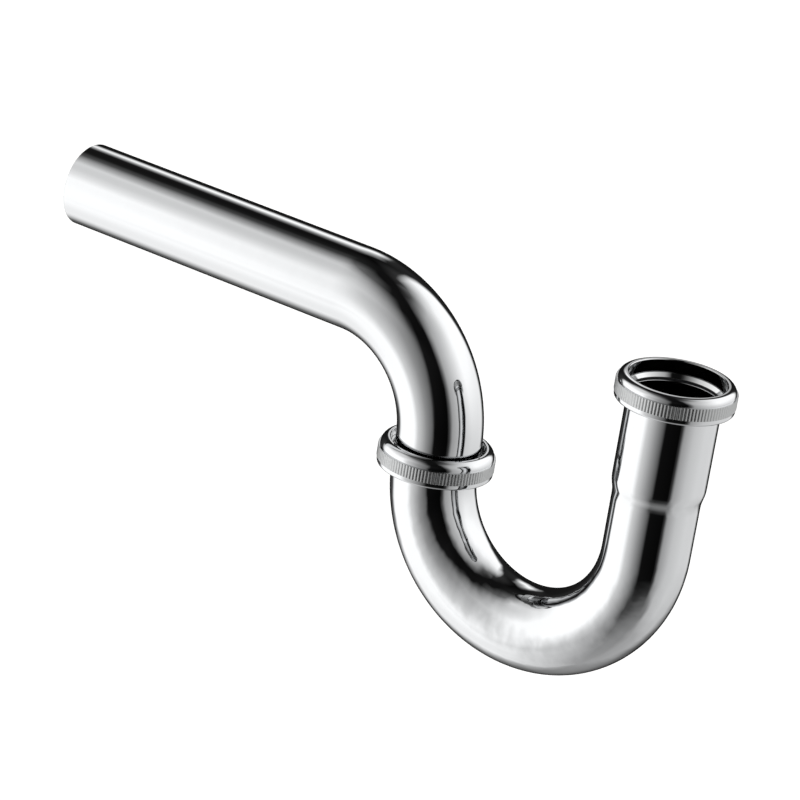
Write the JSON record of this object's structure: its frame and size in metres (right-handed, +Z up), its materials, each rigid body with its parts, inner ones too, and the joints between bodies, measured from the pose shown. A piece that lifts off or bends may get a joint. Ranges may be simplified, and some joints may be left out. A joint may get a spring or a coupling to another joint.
{
  "type": "p trap",
  "caption": "Chromed tubular P trap: J bend with a swaged inlet socket, wall tube with a quarter turn, and knurled slip nuts over rubber seals.",
  "frame": {"origin": "centre of the inlet socket's rim, on the inlet leg's axis", "axes": "+Z up the inlet leg, towards the basin; the wall arm leaves along -X; Y is square to the plane of the bends"},
  "size_m": [0.2884, 0.0438, 0.1335],
  "materials": {
    "chromed_tube": "mirror-polished chrome plate on drawn brass tube",
    "chromed_nut": "chrome plate on turned brass, knurled band",
    "plated_collar": "chrome plate on turned brass, brazed on before plating",
    "polished_ring": "polished pressed ring",
    "rubber_seal": "moulded black rubber, matt"
  },
  "bodies": {
    "trap": {"trap_bend": "chromed_tube", "inlet_thread_collar": "plated_collar", "outlet_thread_collar": "plated_collar", "inlet_washer": "rubber_seal", "outlet_gasket": "rubber_seal"},
    "wall_arm": {"wall_tube": "chromed_tube", "wall_tube_flange": "plated_collar"},
    "inlet_ring": {"inlet_friction_ring": "polished_ring"},
    "inlet_nut": {"inlet_nut": "chromed_nut"},
    "outlet_ring": {"outlet_friction_ring": "polished_ring"},
    "outlet_nut": {"outlet_nut": "chromed_nut"}
  },
  "joints": [
    {"name": "arm_swivel", "type": "hinge", "parent": "trap", "child": "wall_arm", "pos_m": [-0.093, 0, -0.0552], "axis": [0, 0, 1], "range_deg": [-150, 150]},
    {"name": "inlet_nut_lift", "type": "slide", "parent": "trap", "child": "inlet_ring", "axis": [0, 0, 1], "range_m": [0, 0.003]},
    {"name": "inlet_nut_turn", "type": "hinge", "parent": "inlet_ring", "child": "inlet_nut", "pos_m": [0, 0, -0.00205], "axis": [0, 0, 1], "range_deg": [0, 720]},
    {"name": "outlet_nut_lift", "type": "slide", "parent": "trap", "child": "outlet_ring", "axis": [0, 0, 1], "range_m": [0, 0.0045]},
    {"name": "outlet_nut_turn", "type": "hinge", "parent": "outlet_ring", "child": "outlet_nut", "pos_m": [-0.093, 0, -0.0606], "axis": [0, 0, 1], "range_deg": [0, 1080]}
  ],
  "couplings": [
    {"joint": "inlet_nut_lift", "follows": "inlet_nut_turn", "m_per_rad": 0.00023873},
    {"joint": "outlet_nut_lift", "follows": "outlet_nut_turn", "m_per_rad": 0.00023873}
  ]
}
